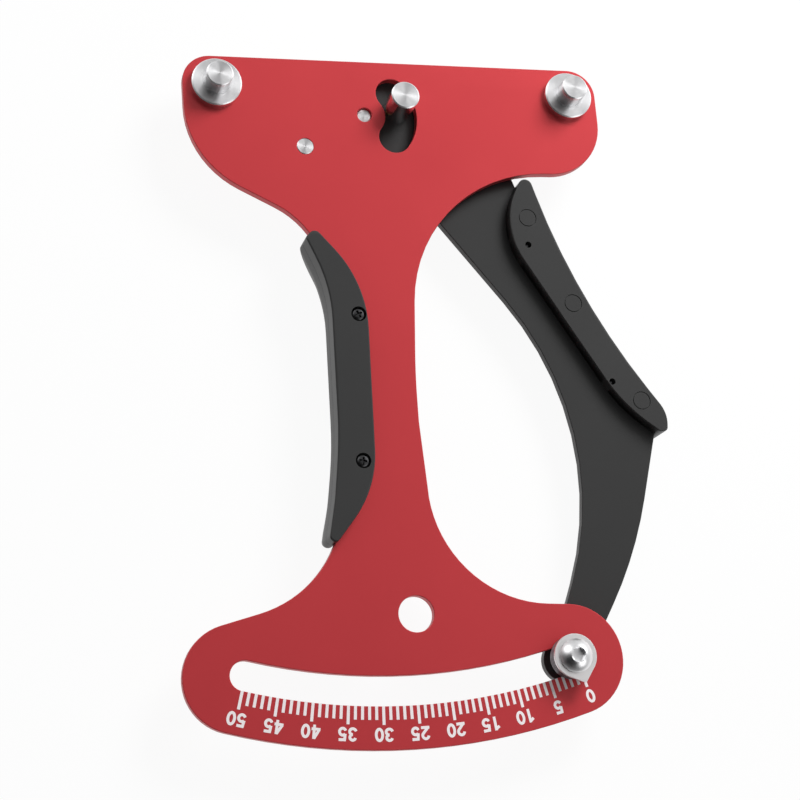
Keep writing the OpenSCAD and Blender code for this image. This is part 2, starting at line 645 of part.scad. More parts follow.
// Sleeve: spacer that runs in the curved slot and is clamped against the arm
module slot_sleeve() color("silver") on_arm(arm_top) translate(arm_end)
  tube(sleeve_d, pointer_screw_d + 4 * fixed_gap, face_z + ride_gap - arm_top);
module pointer_back_washer() color("silver") on_arm(arm_z - washer_t) translate(arm_end)
  tube(nut_w + 1.5, pointer_screw_d + 4 * fixed_gap, washer_t);
nut_z = arm_z - washer_t - nut_t;
module pointer_nut() color("silver") on_arm(nut_z) translate(arm_end) difference() {
  intersection() {
    cylinder(d = nut_w / cos(30), h = nut_t, $fn = 6);
    disc(nut_w / cos(30), nut_t, 0, 0.5);
  }
  translate([0, 0, -1]) cylinder(d = pointer_screw_d + 2 * fixed_gap, h = nut_t + 2);
}
// Button-head screw through the pointer, washers, sleeve, arm and nut
module pointer_screw() color("silver") on_arm() translate(arm_end) difference() {
  union() {
    translate([0, 0, nut_z - 0.6]) cylinder(d = pointer_screw_d, h = pointer_z + pointer_t - nut_z + 0.6);
    translate([0, 0, pointer_z + pointer_t]) intersection() {
      cylinder(d = button_d, h = button_h);
      rim_h = 0.7;
      ball = (pow(button_d / 2, 2) + pow(button_h - rim_h, 2)) / 2 / (button_h - rim_h);
      translate([0, 0, button_h - ball]) sphere(r = ball);
    }
  }
  translate([0, 0, pointer_z + pointer_t + button_h - 2.1])
    cylinder(d = socket_w / cos(30), h = 3, $fn = 6);
  translate([0, 0, pointer_z + pointer_t + button_h - 0.45])
    cylinder(d1 = socket_w, d2 = socket_w + 1.8, h = 0.65);
}

body_plate();
fixed_post_left();
fixed_post_right();
fixed_post_screws();
spring_anchor();
pivot_screw();
spring_collar();
torsion_spring();
body_grip_front();
body_grip_back();
body_grip_screws();
arm_plate();
pivot_bush();
moving_post();
moving_post_screw();
arm_spring_pin();
arm_grip_front();
arm_grip_back();
arm_grip_screws();
pointer();
pointer_screw();
pointer_washers();
slot_sleeve();
pointer_back_washer();
pointer_nut();
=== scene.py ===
"""Spoke tension meter, lying on its back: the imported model's frame, dressed piece by piece."""
import json
import math

import bmesh
import bpy
from mathutils import Matrix, Vector


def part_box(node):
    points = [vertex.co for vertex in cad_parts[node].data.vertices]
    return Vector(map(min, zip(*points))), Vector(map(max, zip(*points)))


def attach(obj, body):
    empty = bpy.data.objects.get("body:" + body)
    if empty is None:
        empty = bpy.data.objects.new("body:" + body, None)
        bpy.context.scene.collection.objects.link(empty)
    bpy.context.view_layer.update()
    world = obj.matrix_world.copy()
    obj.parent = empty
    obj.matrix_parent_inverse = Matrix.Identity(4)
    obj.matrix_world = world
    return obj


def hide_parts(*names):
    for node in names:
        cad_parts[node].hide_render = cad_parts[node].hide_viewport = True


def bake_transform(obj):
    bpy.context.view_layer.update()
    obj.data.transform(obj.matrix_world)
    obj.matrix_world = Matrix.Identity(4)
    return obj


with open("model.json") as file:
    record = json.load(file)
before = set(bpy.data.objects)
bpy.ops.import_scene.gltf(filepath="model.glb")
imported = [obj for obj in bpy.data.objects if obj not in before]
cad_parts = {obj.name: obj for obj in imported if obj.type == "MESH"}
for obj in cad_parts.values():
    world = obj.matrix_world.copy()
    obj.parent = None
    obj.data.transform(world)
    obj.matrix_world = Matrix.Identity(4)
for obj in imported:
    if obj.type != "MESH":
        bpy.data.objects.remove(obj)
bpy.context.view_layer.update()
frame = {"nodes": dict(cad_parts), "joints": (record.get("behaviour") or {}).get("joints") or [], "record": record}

# Body plate. A 3 mm sheet of aluminium, cut to outline with the curved slot, the kidney
# window and its holes. Its edges are broken, then it is blasted satin and anodised red.
MM = 0.001
NEAR = 0.01 * MM
pivot = Vector(frame["joints"][0]["pos_m"])
back, face = (corner.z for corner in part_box("body_plate"))
plate_edge = 0.25 * MM


def rims(node, level):
    """Closed outlines of a CAD node's flat face at a level, with the metal on their left."""
    bm = bmesh.new()
    bm.from_mesh(frame["nodes"][node].data)
    bmesh.ops.remove_doubles(bm, verts=bm.verts, dist=0.2 * NEAR)

    def on_level(f):
        return abs(f.normal.z) > 0.99 and abs(f.calc_center_median().z - level) < NEAR

    follows = {}
    for f in filter(on_level, bm.faces):
        for loop in f.loops:
            if not all(on_level(g) for g in loop.edge.link_faces):
                ends = loop.vert, loop.link_loop_next.vert
                a, b = ends if f.normal.z > 0 else ends[::-1]
                follows[a] = b
    loops = []
    while follows:
        v = next(iter(follows))
        loop = []
        while v in follows:
            if not loop or (v.co.xy - loop[-1]).length > 3 * NEAR:
                loop.append(v.co.xy)
            v = follows.pop(v)
        loops.append(loop)
    bm.free()
    return loops


def circle(centre, radius, count=64, way=1):
    """Points round a circle, anticlockwise, or clockwise where way is -1."""
    return [centre + radius * Vector((math.cos(a), math.sin(a)))
            for a in (way * math.tau * k / count for k in range(count))]


def as_circle(loop):
    """Centre and radius of an outline that is a circle, or None."""
    a, b, c = (loop[k * len(loop) // 3] for k in range(3))
    u, v = b - a, c - a
    cross = 2 * (u.x * v.y - u.y * v.x)
    if abs(cross) < 1e-12:
        return None
    q = Vector((v.y * u.length_squared - u.y * v.length_squared,
                u.x * v.length_squared - v.x * u.length_squared)) / cross
    radius = q.length
    return (a + q, radius) if all(abs((p - a - q).length - radius) < NEAR for p in loop) else None


def inset(loop, depth):
    """An outline moved into the metal on its left."""
    moved = []
    for before, here, after in zip(loop[-1:] + loop[:-1], loop, loop[1:] + loop[:1]):
        u, v = (here - before).normalized(), (after - here).normalized()
        moved.append(here + Vector((-u.y - v.y, u.x + v.x)) / (1 + u.dot(v)) * depth)
    return moved


def skin(bm, rings, closed=False):
    """Quads between rings of equally many points; returns the rings' vertices."""
    rows = [[bm.verts.new(p) for p in ring] for ring in rings]
    for low, high in zip(rows, rows[1:] + (rows[:1] if closed else [])):
        for k in range(len(low)):
            n = (k + 1) % len(low)
            bm.faces.new((low[k], low[n], high[n], high[k]))
    return rows


def solid(name, bm, crease=40):
    """A finished mesh object: outward faces, smooth but for edges sharper than crease."""
    bmesh.ops.recalc_face_normals(bm, faces=bm.faces)
    mesh = bpy.data.meshes.new(name)
    bm.to_mesh(mesh)
    bm.free()
    mesh.polygons.foreach_set("use_smooth", [True] * len(mesh.polygons))
    mesh.set_sharp_from_angle(angle=math.radians(crease))
    obj = bpy.data.objects.new(name, mesh)
    bpy.context.scene.collection.objects.link(obj)
    shade = obj.modifiers.new("Even shading", "WEIGHTED_NORMAL")
    shade.keep_sharp = True
    shade.weight = 100
    return obj


def sheet_metal(name, node, edge):
    """A flat CAD node with its rims rounded by edge, and its round holes truly round."""
    low, high = (corner.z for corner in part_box(node))
    turns = [math.radians(a) for a in (0, 30, 60, 90)]
    rim = [(edge * (1 - math.sin(a)), edge * (1 - math.cos(a))) for a in turns]
    sunk = [c for c in map(as_circle, rims(node, low)) if c]
    bm = bmesh.new()
    tops, bottoms = [], []
    for loop in rims(node, high):
        wall = [(d, high - h) for d, h in rim] + [(d, low + h) for d, h in reversed(rim)]
        hole = as_circle(loop)
        if hole:
            centre, radius = hole
            loop = circle(centre, radius, way=-1)
            wide = [r for c, r in sunk if (c - centre).length < 0.2 * MM and r > radius + 0.5 * MM]
            if wide:
                depth = wide[0] - radius
                wall = [(d, high - h) for d, h in rim] + [(0, low + depth), (depth, low)]
        rows = skin(bm, [[(*p, z) for p in inset(loop, d)] for d, z in wall])
        for row, cap in ((rows[0], tops), (rows[-1], bottoms)):
            cap += [bm.edges.get((a, b)) for a, b in zip(row, row[1:] + row[:1])]
    for cap in (tops, bottoms):
        bmesh.ops.triangle_fill(bm, edges=cap, use_beauty=True, use_dissolve=False)
    return solid(name, bm)


def add(tree, kind, inputs=None, **settings):
    """A shader node with its settings, and its inputs as values or as other nodes' outputs."""
    made = tree.nodes.new(kind)
    for key, value in settings.items():
        setattr(made, key, value)
    for key, value in (inputs or {}).items():
        if isinstance(value, bpy.types.NodeSocket):
            tree.links.new(value, made.inputs[key])
        else:
            made.inputs[key].default_value = value
    return made


def shader_group(name, takes, gives):
    """An empty node group with number inputs and outputs."""
    tree = bpy.data.node_groups.new(name, "ShaderNodeTree")
    for socket, value in takes.items():
        made = tree.interface.new_socket(socket, in_out="INPUT", socket_type="NodeSocketFloat")
        made.default_value = value
    for socket in gives:
        tree.interface.new_socket(socket, in_out="OUTPUT", socket_type="NodeSocketFloat")
    return tree, add(tree, "NodeGroupInput").outputs, add(tree, "NodeGroupOutput").inputs


def math_node(tree, operation, a, b=0.0, clamp=False):
    """The result of one sum, of numbers or of other nodes' outputs."""
    return add(tree, "ShaderNodeMath", {0: a, 1: b}, operation=operation, use_clamp=clamp).outputs[0]


# Fine grain: what blasting, etching or a mould's texture leaves on a surface
cloud_scale = 26.0
grain, into, out = shader_group("Fine grain", {"Grains per mm": 3.0}, ("Height", "Cloud"))
here = add(grain, "ShaderNodeTexCoord").outputs["Object"]
fine = add(grain, "ShaderNodeTexNoise",
           {"Vector": here, "Scale": math_node(grain, "MULTIPLY", into[0], 1 / MM), "Detail": 2.0})
cloud = add(grain, "ShaderNodeTexNoise", {"Vector": here, "Scale": cloud_scale, "Detail": 3.0})
grain.links.new(fine.outputs["Fac"], out["Height"])
grain.links.new(cloud.outputs["Fac"], out["Cloud"])

# Rubbed edge: where handling has thinned the finish along a rim
rub_gain, uneven_scale = 4.0, 220.0
rubbed, into, out = shader_group("Rubbed edge", {"Width mm": 0.3}, ("Mask",))
rounded_off = add(rubbed, "ShaderNodeBevel", {"Radius": math_node(rubbed, "MULTIPLY", into[0], MM)},
                  samples=6).outputs[0]
flat = add(rubbed, "ShaderNodeNewGeometry").outputs["Normal"]
alike = add(rubbed, "ShaderNodeVectorMath", {0: rounded_off, 1: flat}, operation="DOT_PRODUCT")
sharp = math_node(rubbed, "SUBTRACT", 1.0, alike.outputs["Value"])
bare = math_node(rubbed, "MULTIPLY", sharp, rub_gain, clamp=True)
here = add(rubbed, "ShaderNodeTexCoord").outputs["Object"]
uneven = add(rubbed, "ShaderNodeTexNoise", {"Vector": here, "Scale": uneven_scale, "Detail": 4.0})
rubbed.links.new(math_node(rubbed, "MULTIPLY", bare, uneven.outputs["Fac"]), out["Mask"])


def new_material(name, **constants):
    """A material with one principled shader, whose plain values are set on its sockets."""
    made = bpy.data.materials.new(name)
    made.use_nodes = True
    tree = made.node_tree
    tree.nodes.clear()
    shader = add(tree, "ShaderNodeBsdfPrincipled", {k.replace("_", " "): v for k, v in constants.items()})
    add(tree, "ShaderNodeOutputMaterial", {"Surface": shader.outputs[0]})
    return made, tree, shader.inputs


def placed(tree, group, **values):
    """A node group placed in a material with its own values; gives its outputs."""
    made = add(tree, "ShaderNodeGroup", node_tree=group)
    for key, value in values.items():
        made.inputs[key.replace("_", " ")].default_value = value
    return made.outputs


def blend_colour(tree, factor, first, second):
    """From the first colour to the second; each may be a colour or another node's output."""
    mixer = add(tree, "ShaderNodeMix", data_type="RGBA")
    for socket, value in ((0, factor), (6, first), (7, second)):
        if isinstance(value, bpy.types.NodeSocket):
            tree.links.new(value, mixer.inputs[socket])
        else:
            mixer.inputs[socket].default_value = value
    return mixer.outputs[2]


def between(tree, factor, low, high):
    """A value from low to high, as the factor goes from 0 to 1."""
    values = {"Value": factor, "To Min": low, "To Max": high}
    return add(tree, "ShaderNodeMapRange", values).outputs[0]


def bumped(tree, height, depth_mm, strength):
    """The normals of a surface whose height varies by a depth."""
    values = {"Height": height, "Distance": depth_mm * MM, "Strength": strength}
    return add(tree, "ShaderNodeBump", values).outputs[0]


def grained(name, per_mm, colours, rough, bump, edge=None, **constants):
    """A finish with fine grain, between two colours and two roughnesses; bump is its depth in
    mm and its strength, and edge the width in mm and the colour of its rubbed rims."""
    made, tree, socket = new_material(name, **constants)
    surface = placed(tree, grain, Grains_per_mm=per_mm)
    colour = blend_colour(tree, surface["Cloud"], *colours)
    if edge:
        width, worn = edge
        colour = blend_colour(tree, placed(tree, rubbed, Width_mm=width)["Mask"], colour, worn)
    tree.links.new(colour, socket["Base Color"])
    if rough:
        tree.links.new(between(tree, surface["Height"], *rough), socket["Roughness"])
    tree.links.new(bumped(tree, surface["Height"], *bump), socket["Normal"])
    return made


anodised = grained("Red anodised aluminium", 4.0, ((0.53, 0.040, 0.048, 1), (0.59, 0.048, 0.056, 1)),
                   (0.36, 0.46), (0.004, 0.6), (0.35, (0.20, 0.06, 0.065, 1)), Metallic=0.4)


def fit(obj, material, body, slot, *nodes):
    """Gives a piece its material, hangs it on its body and lets it stand for its CAD nodes."""
    obj.data.materials.clear()
    obj.data.materials.append(material)
    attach(obj, body)
    if nodes:
        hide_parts(*nodes)


plate = sheet_metal("red_plate", "body_plate", plate_edge)
fit(plate, anodised, "body", "anodised", "body_plate")

# Scale. Screen-printed in white on the plate below the slot: a tick for each unit, a longer
# one for each five, and its number, which reads the right way up with the posts below.
scale_span, scale_units, units_apart = math.radians(32), 50, 5
scale_turn = math.radians(0.6)       # the print sits this much nearer to the 0 end
tick_start, tick_ends, tick_width = 195.0 * MM, (199.1 * MM, 200.6 * MM), 0.92 * MM
figure_base, figure_size = 201.45 * MM, 0.88 * MM
figure_step, figure_stroke = 3.55, 0.98
ink = 0.03 * MM


def arc(cx, cy, rx, ry, start, end, count=14):
    """Points of an upright oval's arc, from one angle to another."""
    turns = [math.radians(start + (end - start) * k / count) for k in range(count + 1)]
    return [(cx + rx * math.cos(a), cy + ry * math.sin(a)) for a in turns]


# Centre lines of the figures' strokes, on a base line, 4.8 high and about 3 wide
FIGURES = {
    "0": [arc(0, 2.4, 1.12, 1.94, 90, 450, 32)],
    "1": [[(-1.05, 3.5), (0.3, 4.3)], [(0.3, 4.8), (0.3, 0)]],
    "2": [arc(0, 3.18, 1.1, 1.16, 172, -28) + [(-1.0, 0.5)], [(-1.5, 0.49), (1.5, 0.49)]],
    "3": [arc(0, 3.4, 1.0, 0.94, 170, -90), arc(0, 1.46, 1.14, 1.0, 90, -170)],
    "4": [[(0.5, 4.7), (-1.15, 1.5)], [(-1.55, 1.45), (1.55, 1.45)], [(0.6, 4.8), (0.6, 0)]],
    "5": [[(1.35, 4.32), (-1.1, 4.32)], [(-0.68, 4.7), (-0.9, 2.3)], arc(0, 1.62, 1.12, 1.16, 140, -160)],
}


def stroke_sides(line, width):
    """Both sides of a stroke of even width along a line, and whether the line is closed."""
    line = [Vector(p) for p in line]
    closed = (line[0] - line[-1]).length < 1e-6
    if closed:
        line = line[:-1]
    sides = ([], [])
    for k, here in enumerate(line):
        before = line[k - 1] if closed or k else 2 * here - line[1]
        after = line[(k + 1) % len(line)] if closed or k < len(line) - 1 else 2 * here - before
        u, v = (here - before).normalized(), (after - here).normalized()
        side = Vector((-u.y - v.y, u.x + v.x)) / (1 + u.dot(v)) * width / 2
        sides[0].append(here + side)
        sides[1].append(here - side)
    return sides, closed


def print_stroke(bm, line, width, place, layer=1):
    """One printed stroke as a thin raised slab; where strokes cross, each is its own layer."""
    (left, right), closed = stroke_sides(line, width)
    corners = (left, 0), (left, layer), (right, layer), (right, 0)
    rows = [[bm.verts.new(place(p, h)) for p in side] for side, h in corners]
    count = len(left)
    for k in range(count if closed else count - 1):
        n = (k + 1) % count
        for a, b in zip(rows, rows[1:] + rows[:1]):
            bm.faces.new((a[k], a[n], b[n], b[k]))
    if not closed:
        for k in (0, count - 1):
            bm.faces.new([row[k] for row in rows])


def on_scale(angle):
    """Places a point given across and outward from the pivot at an angle of the scale."""
    along = Vector((math.sin(angle), -math.cos(angle)))
    across = Vector((-math.cos(angle), -math.sin(angle)))

    def place(p, layer):
        q = pivot.xy + across * p[0] + along * p[1]
        return q.x, q.y, face + (ink * (1 + layer / 4) if layer else -ink)
    return place


ticks, figures = bmesh.new(), bmesh.new()
for unit in range(scale_units + 1):
    angle = scale_turn + scale_span * (0.5 - unit / scale_units)
    place = on_scale(angle)
    numbered = unit % units_apart == 0
    print_stroke(ticks, [(0, tick_start), (0, tick_ends[numbered])], tick_width, place)
    if numbered:
        text = str(unit)
        for k, figure in enumerate(text):
            shift = (k - (len(text) - 1) / 2) * figure_step
            for layer, line in enumerate(FIGURES[figure], 1):
                line = [((shift + x) * figure_size, figure_base + y * figure_size) for x, y in line]
                print_stroke(figures, line, figure_stroke * figure_size, place, layer)

white_ink = grained("White ink", 6.0, ((0.94, 0.86, 0.87, 1), (0.98, 0.93, 0.94, 1)),
                    None, (0.004, 0.5), Roughness=0.5)
for name, bm in (("scale_ticks", ticks), ("scale_figures", figures)):
    marks = solid(name, bm)
    marks.data.materials.append(white_ink)
    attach(marks, "body")

# Fixed posts. Turned from bright steel bar: a flange with a broken rim, and a post whose end
# was faced on the lathe, so fine rings run round it. A screw from behind holds each one.
FINE = 96              # sides of the larger round pieces
rim_drop = 0.65        # how steep a broken rim is: its height for its width
light_break = 0.1      # mm, on rims that hardly show
ring_pitch, ring_cut = 0.46, 0.03


def turned(name, profile, centre, count=FINE):
    """A piece turned to a profile of (radius, height) in mm, standing on its centre. Where
    a step adds "hexagon", its section is a hexagon of that half width instead of a circle."""
    bm = bmesh.new()
    closed = profile[0] == profile[-1]
    rings = []
    for radius, height, *form in profile[:-1] if closed else profile:
        ring = circle(Vector((0, 0)), radius * MM, count)
        if form:
            spokes = [math.tau * k / count % (math.pi / 3) - math.pi / 6 for k in range(count)]
            ring = [p / math.cos(a) for p, a in zip(ring, spokes)]
        rings.append([(*p, height * MM) for p in ring])
    rows = skin(bm, rings, closed)
    if not closed:
        for row, step in ((rows[0], profile[0]), (rows[-1], profile[-1])):
            if step[0] > 0:
                bm.faces.new(row)
        bmesh.ops.remove_doubles(bm, verts=rows[0] + rows[-1], dist=0.01 * NEAR)
    obj = solid(name, bm, 30)
    obj.location = centre
    return obj


def faced(radius, height, edge):
    """Profile of an end faced on the lathe: a broken rim, then fine rings to the centre."""
    rings = [(radius, height - rim_drop * edge), (radius - edge, height)]
    r = radius - edge - ring_pitch
    while r > ring_pitch:
        rings += [(r + 0.25 * ring_pitch, height), (r, height - ring_cut), (r - 0.25 * ring_pitch, height)]
        r -= ring_pitch
    return rings + [(0.5 * ring_pitch, height), (0, height - 2 * ring_cut)]


lathe, into, out = shader_group("Lathe marks", {"Rings per mm": 5.0}, ("Height", "Shade"))
side_rings, band_rings = 0.7, 0.13      # rings on the sides and broad bands, for each fine ring
here = add(lathe, "ShaderNodeTexCoord").outputs["Object"]
x, y, z = add(lathe, "ShaderNodeSeparateXYZ", {0: here}).outputs
squares = (math_node(lathe, "MULTIPLY", axis, axis) for axis in (x, y))
across = math_node(lathe, "SQRT", math_node(lathe, "ADD", *squares))
along = math_node(lathe, "ADD", across, math_node(lathe, "MULTIPLY", z, side_rings))
tight = math_node(lathe, "MULTIPLY", along, math_node(lathe, "MULTIPLY", into[0], 1 / MM))
lines = add(lathe, "ShaderNodeTexNoise", {"W": tight, "Scale": 1.0, "Detail": 3.0}, noise_dimensions="1D")
wide = math_node(lathe, "MULTIPLY", tight, band_rings)
bands = add(lathe, "ShaderNodeTexNoise", {"W": wide, "Scale": 1.0}, noise_dimensions="1D")
lathe.links.new(lines.outputs["Fac"], out["Height"])
lathe.links.new(bands.outputs["Fac"], out["Shade"])


def turned_metal(name, dark, light, rough, rings=5.0, depth=0.006, side=1.0, **constants):
    """Turned metal, whose upright sides have only the share side of its ends' roughness."""
    made, tree, socket = new_material(name, Metallic=1.0, **constants)
    cuts = placed(tree, lathe, Rings_per_mm=rings)
    tree.links.new(blend_colour(tree, cuts["Shade"], dark, light), socket["Base Color"])
    normal = add(tree, "ShaderNodeNewGeometry").outputs["Normal"]
    upward = math_node(tree, "ABSOLUTE", add(tree, "ShaderNodeSeparateXYZ", {0: normal}).outputs[2])
    share, on_ends = between(tree, upward, side, 1.0), between(tree, cuts["Shade"], *rough)
    tree.links.new(math_node(tree, "MULTIPLY", on_ends, share), socket["Roughness"])
    tree.links.new(bumped(tree, cuts["Height"], depth, 0.5), socket["Normal"])
    if "Anisotropic" in constants:
        around = add(tree, "ShaderNodeTangent", direction_type="RADIAL", axis="Z").outputs[0]
        tree.links.new(around, socket["Tangent"])
    return made


bright_steel = turned_metal("Bright turned steel", (0.84, 0.84, 0.85, 1), (0.96, 0.96, 0.97, 1),
                            (0.38, 0.46), rings=3.0, depth=0.012, side=0.35, Anisotropic=0.9,
                            Anisotropic_Rotation=0.25)
sites = {m["name"]: Vector(m["pos_m"]) for m in frame["record"]["mounts"]}
post_radius, flange_radius, flange_thick, rim_edge = 4.4, 8.25, 2.6, 0.4
screw_radius, screw_bore, bore_depth = 2.0, 2.05, 7
groove_out, groove_in, groove_floor = 0.7, 0.1, flange_thick - 0.06   # round the foot of the post
screw_hole = [(0, bore_depth), (screw_bore, bore_depth), (screw_bore, 0)]
tall = (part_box("fixed_post_left")[1].z - face) / MM
for side in ("left", "right"):
    profile = screw_hole + [(flange_radius - light_break, 0), (flange_radius, light_break),
                            (flange_radius, flange_thick - rim_drop * rim_edge),
                            (flange_radius - rim_edge, flange_thick),
                            (post_radius + groove_out + 0.1, flange_thick),
                            (post_radius + groove_out, groove_floor),
                            (post_radius + groove_in, groove_floor), (post_radius, flange_thick + 0.1)]
    profile += faced(post_radius, tall, rim_edge)
    post = turned(side + "_post", profile, Vector((*sites[side + "_post"].xy, face)))
    fit(post, bright_steel, "body", "turned_steel", "fixed_post_" + side)

# Post screws. Blackened countersunk screws with a hexagon socket, driven from behind: two
# through the body into the fixed posts, one through the arm into the moving post.
black_steel = turned_metal("Blackened steel", (0.045, 0.045, 0.047, 1), (0.085, 0.085, 0.088, 1),
                           (0.26, 0.38), rings=3.0, depth=0.003)
sunk_radius, sunk_depth, screw_length, screw_point = 3.7, 1.75, 9.0, 0.4
socket_half, socket_depth = 1.0, 1.35


def post_screw(name, place):
    """A countersunk screw with its head down on its place."""
    profile = [(0, socket_depth + 0.15), (socket_half, socket_depth, "hexagon"),
               (socket_half, 0.12, "hexagon"), (socket_half + 0.25, 0), (sunk_radius - 0.15, 0),
               (sunk_radius, light_break), (screw_radius, sunk_depth),
               (screw_radius, screw_length - screw_point),
               (screw_radius - screw_point, screw_length), (0, screw_length)]
    return turned(name, profile, place, 48)


for side in ("left", "right"):
    screw = post_screw(side + "_post_screw", Vector((*sites[side + "_post"].xy, back)))
    fit(screw, black_steel, "body", "black_steel", "fixed_post_screws")

# Spring anchor. A pin turned with a waist for the spring's leg and a foot that keeps the leg
# on, pressed into the body until its faced end is flush with the front.
low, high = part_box("spring_anchor")
anchor = Vector(((low.x + high.x) / 2, (low.y + high.y) / 2, low.z))
foot, foot_thick, foot_edge, waist, stem, stem_edge = 3.2, 0.8, 0.15, 2.0, 2.75, 0.18
at_plate, tall = (back - low.z) / MM, (high.z - low.z) / MM
profile = [(0, 0), (foot - foot_edge, 0), (foot, foot_edge), (foot, foot_thick - foot_edge),
           (foot - foot_edge, foot_thick), (waist + light_break, foot_thick),
           (waist, foot_thick + light_break), (waist, at_plate - light_break),
           (stem - light_break, at_plate), (stem, at_plate + light_break)]
profile += faced(stem, tall, stem_edge)
fit(turned("spring_anchor_pin", profile, anchor), bright_steel, "body", "turned_steel", "spring_anchor")

# Pivot screw. A shoulder screw of bright steel with a low head and a hexagon socket at the
# back, screwed into the body; its threaded end stops a little below the body's front.
low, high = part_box("pivot_screw")
axle = Vector((*pivot.xy, low.z))
head, head_thick, shoulder, thread, thread_edge = 6.5, 1.6, 4.0, 2.45, 0.35
key_half, key_depth = 1.5, 1.2
at_plate, tall = (back - low.z) / MM, (high.z - low.z) / MM
profile = [(0, key_depth + 0.15), (key_half, key_depth, "hexagon"), (key_half, 0.15, "hexagon"),
           (key_half + 0.3, 0), (head - 0.45, 0), (head - 0.15, 0.12), (head, 0.4),
           (head, head_thick - light_break), (head - light_break, head_thick), (shoulder, head_thick),
           (shoulder, at_plate), (thread, at_plate)]
profile += faced(thread, tall, thread_edge)
fit(turned("pivot_shoulder_screw", profile, axle), bright_steel, "body", "turned_steel", "pivot_screw")

# Spring collar. A plain tube of plated steel on the pivot screw's shoulder, between its head
# and the arm, which keeps the spring's turns in line.
plated = turned_metal("Bright plated steel", (0.80, 0.80, 0.81, 1), (0.90, 0.90, 0.91, 1), (0.29, 0.35),
                      rings=2.0, depth=0.003)
collar_outer, collar_inner = 5.3, 4.05


def sleeve(name, outer, inner, tall, place, edge=0.15):
    """A plain tube with its four rims broken."""
    wall = [(inner, edge), (inner + edge, 0), (outer - edge, 0), (outer, edge), (outer, tall - edge),
            (outer - edge, tall), (inner + edge, tall), (inner, tall - edge), (inner, edge)]
    return turned(name, wall, place)


low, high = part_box("spring_collar")
collar = sleeve("collar", collar_outer, collar_inner, (high.z - low.z) / MM, Vector((*pivot.xy, low.z)))
fit(collar, plated, "body", "zinc_steel", "spring_collar")

# Torsion spring. One length of 1.4 mm wire: a straight leg behind the body's anchor, the
# turns round the collar from back to front, and a straight leg behind the arm's pin.
wire, coil_radius, touch, whole_turns, leg_over = 0.7, 7.3, 0.2, 2, 3.0
pin_radius = 1.5
wire_sides, leg_steps, coil_steps = 20, 12, 150
low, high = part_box("torsion_spring")
coil_low, coil_high = low.z / MM + wire, high.z / MM - wire
pin_low, pin_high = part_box("arm_spring_pin")
pin = (pin_low + pin_high) / 2


def leg(place, thick):
    """For a leg that passes a pin: the angle where it leaves the turns, and its length."""
    q = (place.xy - pivot.xy) / MM
    open_angle = math.acos((coil_radius + thick + wire + touch) / q.length)
    return math.atan2(q.y, q.x), open_angle, q.length * math.sin(open_angle) + leg_over


towards_pin, open_angle, rear_leg = leg(anchor, waist)
start = towards_pin + math.tau - open_angle
towards_pin, open_angle, front_leg = leg(pin, pin_radius)
end = towards_pin + open_angle
sweep = start - end + math.tau * whole_turns


def on_coil(share):
    """The wire's centre at a share of its turns, from the back."""
    a = start - share * sweep
    rise = coil_low + share * (coil_high - coil_low)
    return Vector((coil_radius * math.cos(a), coil_radius * math.sin(a), rise))


rear_way = Vector((-math.sin(start), math.cos(start), 0))
front_way = Vector((math.sin(end), -math.cos(end), 0))
line = [on_coil(0) + rear_way * rear_leg * k / leg_steps for k in range(leg_steps, 0, -1)]
line += [on_coil(k / coil_steps) for k in range(coil_steps + 1)]
line += [on_coil(1) + front_way * front_leg * k / leg_steps for k in range(1, leg_steps + 1)]
bm = bmesh.new()
rings = []
for k, here in enumerate(line):
    way = (line[min(k + 1, len(line) - 1)] - line[max(k - 1, 0)]).normalized()
    side = Vector((-way.y, way.x, 0)).normalized()
    top = way.cross(side)
    rings.append([(here + wire * (math.cos(a) * side + math.sin(a) * top)) * MM
                  for a in (math.tau * j / wire_sides for j in range(wire_sides))])
rows = skin(bm, rings)
for row in (rows[0], rows[-1]):
    bm.faces.new(row)
bmesh.ops.translate(bm, vec=(*pivot.xy, 0), verts=bm.verts)
spring = solid("wound_spring", bm)
spring_wire = grained("Drawn spring wire", 2.0, ((0.30, 0.30, 0.32, 1), (0.46, 0.46, 0.48, 1)),
                      (0.26, 0.42), (0.01, 0.4), Metallic=1.0)
spring.data.materials.append(spring_wire)
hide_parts("torsion_spring")
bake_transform(spring)

# Body grip. Two moulded shells of grey-black plastic over the neck's left edge, a fine
# parting line between them; the front one is flat with a rounded edge, the back one narrows.
grip_corners = [(-20.7, -41.9, 2), (-23.9, -45.2, 1.2), (-16.8, -62, 50), (-17.7, -112, 150),
                (-20.3, -131, 60), (-24.1, -149.3, 1.7), (-6.6, -127.9, 36), (-4.9, -60.5, 40)]
grip_spine = [(-13.2, -56.5), (-9.8, -74), (-11.2, -118), (-18.8, -138.5)]
grip_screws = [(-8.3, -71.1), (-10.4, -119.2)]
grip_narrow, grip_wall = 0.46, 10.0    # share of the way to the spine, and where the wall ends
grip_edge, grip_foot, narrowing, lip, parting = 0.6, 0.6, 1.35, 0.01, 0.1
grip_points, arc_step = 420, math.radians(3)


def rounded(corners):
    """Outline through corners of (x, y, radius), each corner an arc."""
    line = []
    neighbours = zip(corners[-1:] + corners[:-1], corners, corners[1:] + corners[:1])
    for before, (x, y, radius), after in neighbours:
        here = Vector((x, y))
        u, v = (Vector(before[:2]) - here).normalized(), (Vector(after[:2]) - here).normalized()
        half = u.angle(v) / 2
        middle = here + (u + v).normalized() * radius / math.sin(half)
        first = here + u * radius / math.tan(half) - middle
        swept = math.copysign(math.pi - 2 * half, u.y * v.x - u.x * v.y)
        steps = max(4, math.ceil(abs(swept) / arc_step))
        for k in range(steps + 1):
            a = swept * k / steps
            line.append(middle + Vector((first.x * math.cos(a) - first.y * math.sin(a),
                                         first.x * math.sin(a) + first.y * math.cos(a))))
    return line


